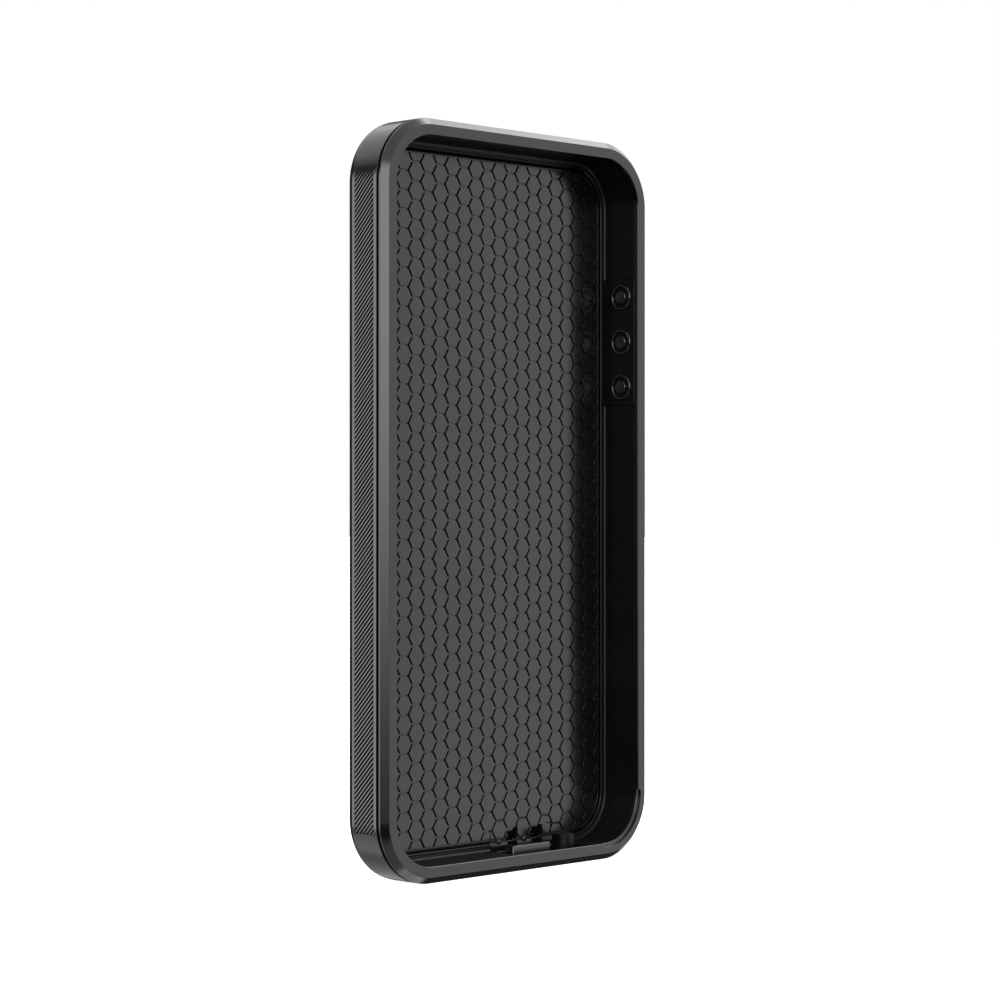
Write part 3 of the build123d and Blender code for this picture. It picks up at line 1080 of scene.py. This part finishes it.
def cut_pad(piece):
    """Trims the pad at the port: notches for the door's arms, room for the straps, and slits."""
    floor_y = FRONT_Y + FLOOR_DEPTH
    back_y = FRONT_Y + PAD_BACK
    strap_y = back_y - STRAP_THICKNESS - FIT_GAP
    strap_top = box_mm("hinge_bracket")[1].z
    left, right = port_limits()
    through = (floor_y - OVERCUT, back_y + OVERCUT)
    to_strap = (floor_y - OVERCUT, strap_y + FIT_GAP)
    slit_z = (ARM_NOTCH_TOP_Z, ARM_NOTCH_TOP_Z + SLIT_WIDTH)
    blocks = [
        ((left, right), through, (0, TAB_END_Z)),
        ((left, right), (strap_y, back_y + OVERCUT), (0, strap_top + FIT_GAP)),
        ((HOOK_X - SLIT_WIDTH, HOOK_X), to_strap, (0, slit_z[1])),
        ((HOOK_X - HOOK_LENGTH, HOOK_X), to_strap, slit_z),
    ]
    for x_range in [(left, DOOR_LEFT_X + FIT_GAP)] + ARM_RANGES:
        blocks.append((x_range, through, (0, ARM_NOTCH_TOP_Z)))
    for limits in blocks:
        cutter = bmesh.new()
        low, high = zip(*limits)
        add_block(cutter, low, high)
        combine(piece, cutter)


def stub_profile(radius, rise, edge):
    """Lathe profile of a short round post with a rounded top edge."""
    return [(radius, 0)] + [(radius - inset, rise - edge + up) for inset, up in round_layers(edge)]


def right_wall_place(y, z, base):
    """Place function for shapes that grow from the right wall towards the middle of the case."""
    return lambda u, v, rise: (base - rise, y + v, z + u)


def build_membrane(plate_material, ring_material):
    """Soft plate in the right wall with a raised, glossier ring at each button."""
    low, high = box_mm("button_membrane")
    plate_face = RIGHT_X - MEMBRANE_INNER_INSET
    thickness = high.x - plate_face
    _, middle_y, middle_z = middle_mm("button_membrane")
    bm = bmesh.new()
    layers = [(0, 0)]
    layers += [(inset, thickness - MEMBRANE_ROUND + rise) for inset, rise in round_layers(MEMBRANE_ROUND)]
    place = right_wall_place(middle_y, middle_z, high.x)
    loft(bm, high.z - low.z, high.y - low.y, MEMBRANE_CORNER, layers, place)
    piece = mesh_object("membrane", bm)
    rise = plate_face - low.x
    inner = BOSS_RADIUS - BOSS_WALL
    ring = rounded([
        (inner, -BOSS_ROOT, 0),
        (BOSS_RADIUS, -BOSS_ROOT, 0),
        (BOSS_RADIUS, rise, BOSS_ROUND),
        (inner, rise, BOSS_ROUND),
    ])
    bore_radius = STEM_RADIUS + STEM_CLEARANCE
    for name in BUTTONS:
        _, y, z = middle_mm(name + "_button_nub")
        place = right_wall_place(y, z, plate_face)
        ring_bm = bmesh.new()
        lathe(ring_bm, ring, place)
        combine(piece, ring_bm, "UNION")
        bore = bmesh.new()
        lathe(bore, [(bore_radius, -BORE_REACH), (bore_radius, BORE_REACH)], place, closed=False)
        combine(piece, bore)
    dress(piece, plate_material, "case", ["button_membrane"])
    piece.data.materials.append(ring_material)
    for face in piece.data.polygons:
        if face.center.x < (plate_face - MERGE) * MM:
            face.material_index = 1
    return piece


def build_button(name, cap_material, nub_material):
    """Pill-shaped cap with a soft crown on a stem, and the nub on the stem's inner end."""
    body = name + "_button"
    low, high = box_mm(body + "_cap")
    _, middle_y, middle_z = middle_mm(body + "_cap")
    length = high.z - low.z
    height = high.y - low.y
    side = CAP_THICKNESS - CAP_CROWN - CAP_ROUND
    layers = [(0, 0)] + [(inset, side + rise) for inset, rise in round_layers(CAP_ROUND)]
    slope = height / 2 - CAP_ROUND - CROWN_FLAT
    for i, angle in list(enumerate(quarter_turn(DOME_STEPS)))[1:]:
        inset = CAP_ROUND + slope * i / DOME_STEPS
        layers.append((inset, side + CAP_ROUND + CAP_CROWN * math.sin(angle)))

    def outward(u, v, rise):
        return (high.x - CAP_THICKNESS + rise, middle_y + v, middle_z + u)

    bm = bmesh.new()
    loft(bm, length, height, height / 2, layers, outward)
    lathe(bm, [(STEM_RADIUS, low.x - high.x + CAP_THICKNESS), (STEM_RADIUS, 0.0)], outward, closed=False)
    cap = mesh_object(body + "_cap_piece", bm)
    dress(cap, cap_material, body, [body + "_cap"])

    nub_low, nub_high = box_mm(body + "_nub")
    place = right_wall_place(middle_y, middle_z, nub_high.x)
    rise = nub_high.x - nub_low.x
    radius = (nub_high.z - nub_low.z) / 2
    bm = bmesh.new()
    lathe(bm, stub_profile(radius, rise, NUB_ROUND), place, closed=False)
    nub = mesh_object(body + "_nub_piece", bm)
    dress(nub, nub_material, body, [body + "_nub"])


def door_place(node):
    """Place function for shapes that stand on the door, at a CAD node's middle."""
    middle_x, middle_y, _ = middle_mm(node)
    base = box_mm(node)[0].z
    return lambda u, v, rise: (middle_x + u, middle_y + v, base + rise)


def build_port_plug(material):
    """Tapered plug on the door, with rounded ends."""
    low, high = box_mm("port_plug")
    size = high - low
    top = size.z - PLUG_ROUND
    taper = PLUG_TAPER * top / size.z
    layers = [(0, 0)] + [(taper + inset, top + rise) for inset, rise in round_layers(PLUG_ROUND)]

    place = door_place("port_plug")
    bm = bmesh.new()
    loft(bm, size.x, size.y, PLUG_CORNER, layers, place)
    piece = mesh_object("charging_plug", bm)
    return dress(piece, material, "port_flap", ["port_plug"])


def build_jack_plug(material):
    """Round plug with a rounded top."""
    low, high = box_mm("jack_plug")
    radius = (high.x - low.x) / 2
    rise = high.z - low.z
    place = door_place("jack_plug")
    bm = bmesh.new()
    lathe(bm, stub_profile(radius, rise, JACK_ROUND), place, closed=False)
    piece = mesh_object("round_plug", bm)
    return dress(piece, material, "port_flap", ["jack_plug"])


def build_door_seal(material):
    """Soft rounded frame on the door's inner face."""
    low, high = box_mm("door_seal")
    middle_x, middle_y, _ = middle_mm("door_seal")
    width = high.x - low.x
    height = high.y - low.y
    outer = rounded_rectangle(width, height, SEAL_CORNER)
    inner = rounded_rectangle(width - 2 * SEAL_WIDTH, height - 2 * SEAL_WIDTH, SEAL_INNER_CORNER)
    corners = [(0, low.z, 0), (0, high.z, SEAL_ROUND), (1, high.z, SEAL_ROUND), (1, low.z, 0)]
    section = rounded(corners, FINE_STEPS)
    bm = bmesh.new()
    rings = []
    for (u, v), (inner_u, inner_v) in zip(outer, inner):
        ring = []
        for share, z in section:
            x = middle_x + u + share * (inner_u - u)
            y = middle_y + v + share * (inner_v - v)
            ring.append(bm.verts.new((x, y, z)))
        rings.append(ring)
    bridge(bm, rings, closed=True)
    piece = mesh_object("door_frame_seal", bm)
    return dress(piece, material, "port_flap", ["door_seal"])


def build_pieces():
    """Every visible piece, in the materials of its use."""
    materials = make_materials()
    build_bezel(materials["hard_shell"])
    build_gasket(materials["seal_rubber"])
    build_tray(materials["hard_shell"])
    build_grip("grip_left", -1, "grip_panel_left", materials["grip_rubber"])
    build_grip("grip_right", 1, "grip_panel_right", materials["grip_rubber"])
    build_liner(materials["liner_tpu"])
    build_bead(materials["bead_tpu"])
    build_pad(materials["pad_tpu"])
    build_membrane(materials["liner_tpu"], materials["ring_tpu"])
    for name in BUTTONS:
        build_button(name, materials["button_plastic"], materials["ring_tpu"])
    build_port_plug(materials["plug_rubber"])
    build_jack_plug(materials["jack_rubber"])
    build_door_seal(materials["seal_rubber"])
    dress_cad("port_door", materials["hard_shell"], DOOR_ROUND)
    dress_cad("hinge_bracket", materials["hinge_metal"])
    dress_cad("hinge_pin", materials["hinge_metal"])


# ---------------------------------------------------------------- studio

def panel(nodes, azimuth, elevation, az_limits, el_limits, strength):
    """Soft-edged light panel in the sky. az_limits and el_limits are (start, full, full end, end) in
    degrees, from where it begins to glow to where it is gone."""
    low, full, full_end, end = az_limits
    middle = (full + full_end) / 2
    turned = nodes.math("SUBTRACT", azimuth, middle)
    turned = nodes.math("WRAP", turned, 180.0, -180.0)
    across = nodes.ramp(turned, low - middle, full - middle)
    across = nodes.math("MULTIPLY", across, nodes.ramp(turned, full_end - middle, end - middle, 1.0, 0.0))
    low, full, full_end, end = el_limits
    up = nodes.ramp(elevation, low, full)
    up = nodes.math("MULTIPLY", up, nodes.ramp(elevation, full_end, end, 1.0, 0.0))
    return nodes.math("MULTIPLY", nodes.math("MULTIPLY", across, up), strength)


def build_world():
    """Studio of soft panels for reflections and light; the camera itself sees plain white."""
    world = bpy.data.worlds.new("studio")
    bpy.context.scene.world = world
    world.use_nodes = True
    nodes = Nodes(world.node_tree)
    output = nodes.add("ShaderNodeOutputWorld")
    place = nodes.add("ShaderNodeTexCoord").outputs["Generated"]
    split = nodes.add("ShaderNodeSeparateXYZ")
    nodes.link(place, split.inputs[0])
    azimuth = nodes.math("DEGREES", nodes.math("ARCTAN2", split.outputs[1], split.outputs[0]))
    elevation = nodes.math("DEGREES", nodes.math("ARCSINE", split.outputs[2]))
    panels = [
        # in front of the case to the right: lights every face that looks forwards
        ((-90, -72, -25, -12), (-34, -22, 26, 38), 2.4),
        # the same side, higher and brighter: lights the top chamfer
        ((-60, -35, 4, 18), (28, 40, 50, 64), 7.0),
        # behind the camera: brighter above the horizon
        ((-165, -150, -120, -95), (-9, 6, 20, 34), 8.6),
        # back left: lights the left side
        ((114, 128, 155, 170), (-20, -12, 10, 20), 6.2),
        # lower back left, and the ground behind the case
        ((100, 115, 150, 170), (-55, -40, -26, -10), 1.3),
        ((20, 50, 140, 175), (-91, -90, -30, -14), 0.8),
        # right: seen only in the right side's own faces
        ((-22, -8, 25, 40), (-28, -12, 24, 40), 1.8),
        # the ground in front: lights the chamfer at the lower left corner
        ((-150, -135, -80, -50), (-82, -72, -38, -24), 1.2),
        ((-105, -75, -5, 8), (-91, -90, -60, -50), 3.4),
        # overhead
        ((-181, -180, 180, 181), (20, 36, 90, 91), 2.0),
    ]
    total = 0.12
    for az_limits, el_limits, strength in panels:
        total = nodes.math("ADD", panel(nodes, azimuth, elevation, az_limits, el_limits, strength), total)
    studio = nodes.add("ShaderNodeBackground")
    nodes.link(total, studio.inputs["Strength"])
    white = nodes.add("ShaderNodeBackground")
    white.inputs["Strength"].default_value = 1.0
    white.inputs["Color"].default_value = (1, 1, 1, 1)
    seen = nodes.add("ShaderNodeLightPath").outputs["Is Camera Ray"]
    mix = nodes.add("ShaderNodeMixShader")
    nodes.link(seen, mix.inputs[0])
    nodes.link(studio.outputs[0], mix.inputs[1])
    nodes.link(white.outputs[0], mix.inputs[2])
    nodes.link(mix.outputs[0], output.inputs["Surface"])


def build_floor():
    """Plain pale floor that the case's own reflections don't see."""
    mesh = bpy.data.meshes.new("floor")
    reach = 4.0
    corners = [(-reach, -reach), (reach, -reach), (reach, reach), (-reach, reach)]
    mesh.from_pydata([(x, y, 0.0) for x, y in corners], [], [(0, 1, 2, 3)])
    floor = bpy.data.objects.new("floor", mesh)
    bpy.context.scene.collection.objects.link(floor)
    material = bpy.data.materials.new("pale_floor")
    material.use_nodes = True
    shader = material.node_tree.nodes["Principled BSDF"]
    shader.inputs["Base Color"].default_value = (0.9, 0.9, 0.9, 1)
    shader.inputs["Roughness"].default_value = 1.0
    shader.inputs["Emission Color"].default_value = (1, 1, 1, 1)
    shader.inputs["Emission Strength"].default_value = 0.85
    mesh.materials.append(material)
    floor.visible_glossy = False
    floor.visible_diffuse = False


def build_camera():
    """Camera at the case's mid height, 45 degrees to the left of straight on."""
    half_depth = THICKNESS / 2 * math.sqrt(0.5)
    distance = (FRONT_DISTANCE + half_depth) * MM
    side_shift = (half_depth - FRONT_SHIFT) * MM
    azimuth = math.radians(CAMERA_AZIMUTH)
    data = bpy.data.cameras.new("camera")
    data.sensor_width = 36.0
    data.lens = CAMERA_LENS
    data.clip_start = 0.01
    data.clip_end = 50
    camera = bpy.data.objects.new("camera", data)
    bpy.context.scene.collection.objects.link(camera)
    right = Vector((math.cos(azimuth), math.sin(azimuth), 0))
    forward = Vector((-math.sin(azimuth), math.cos(azimuth), 0))
    target = Vector((0, 0, (MIDDLE_Z + CAMERA_LIFT) * MM)) + right * side_shift
    camera.location = target - forward * distance
    camera.rotation_euler = (math.pi / 2, 0, azimuth)
    bpy.context.scene.camera = camera


build_pieces()
build_world()
build_floor()
build_camera()
bpy.context.scene.view_settings.view_transform = "Standard"
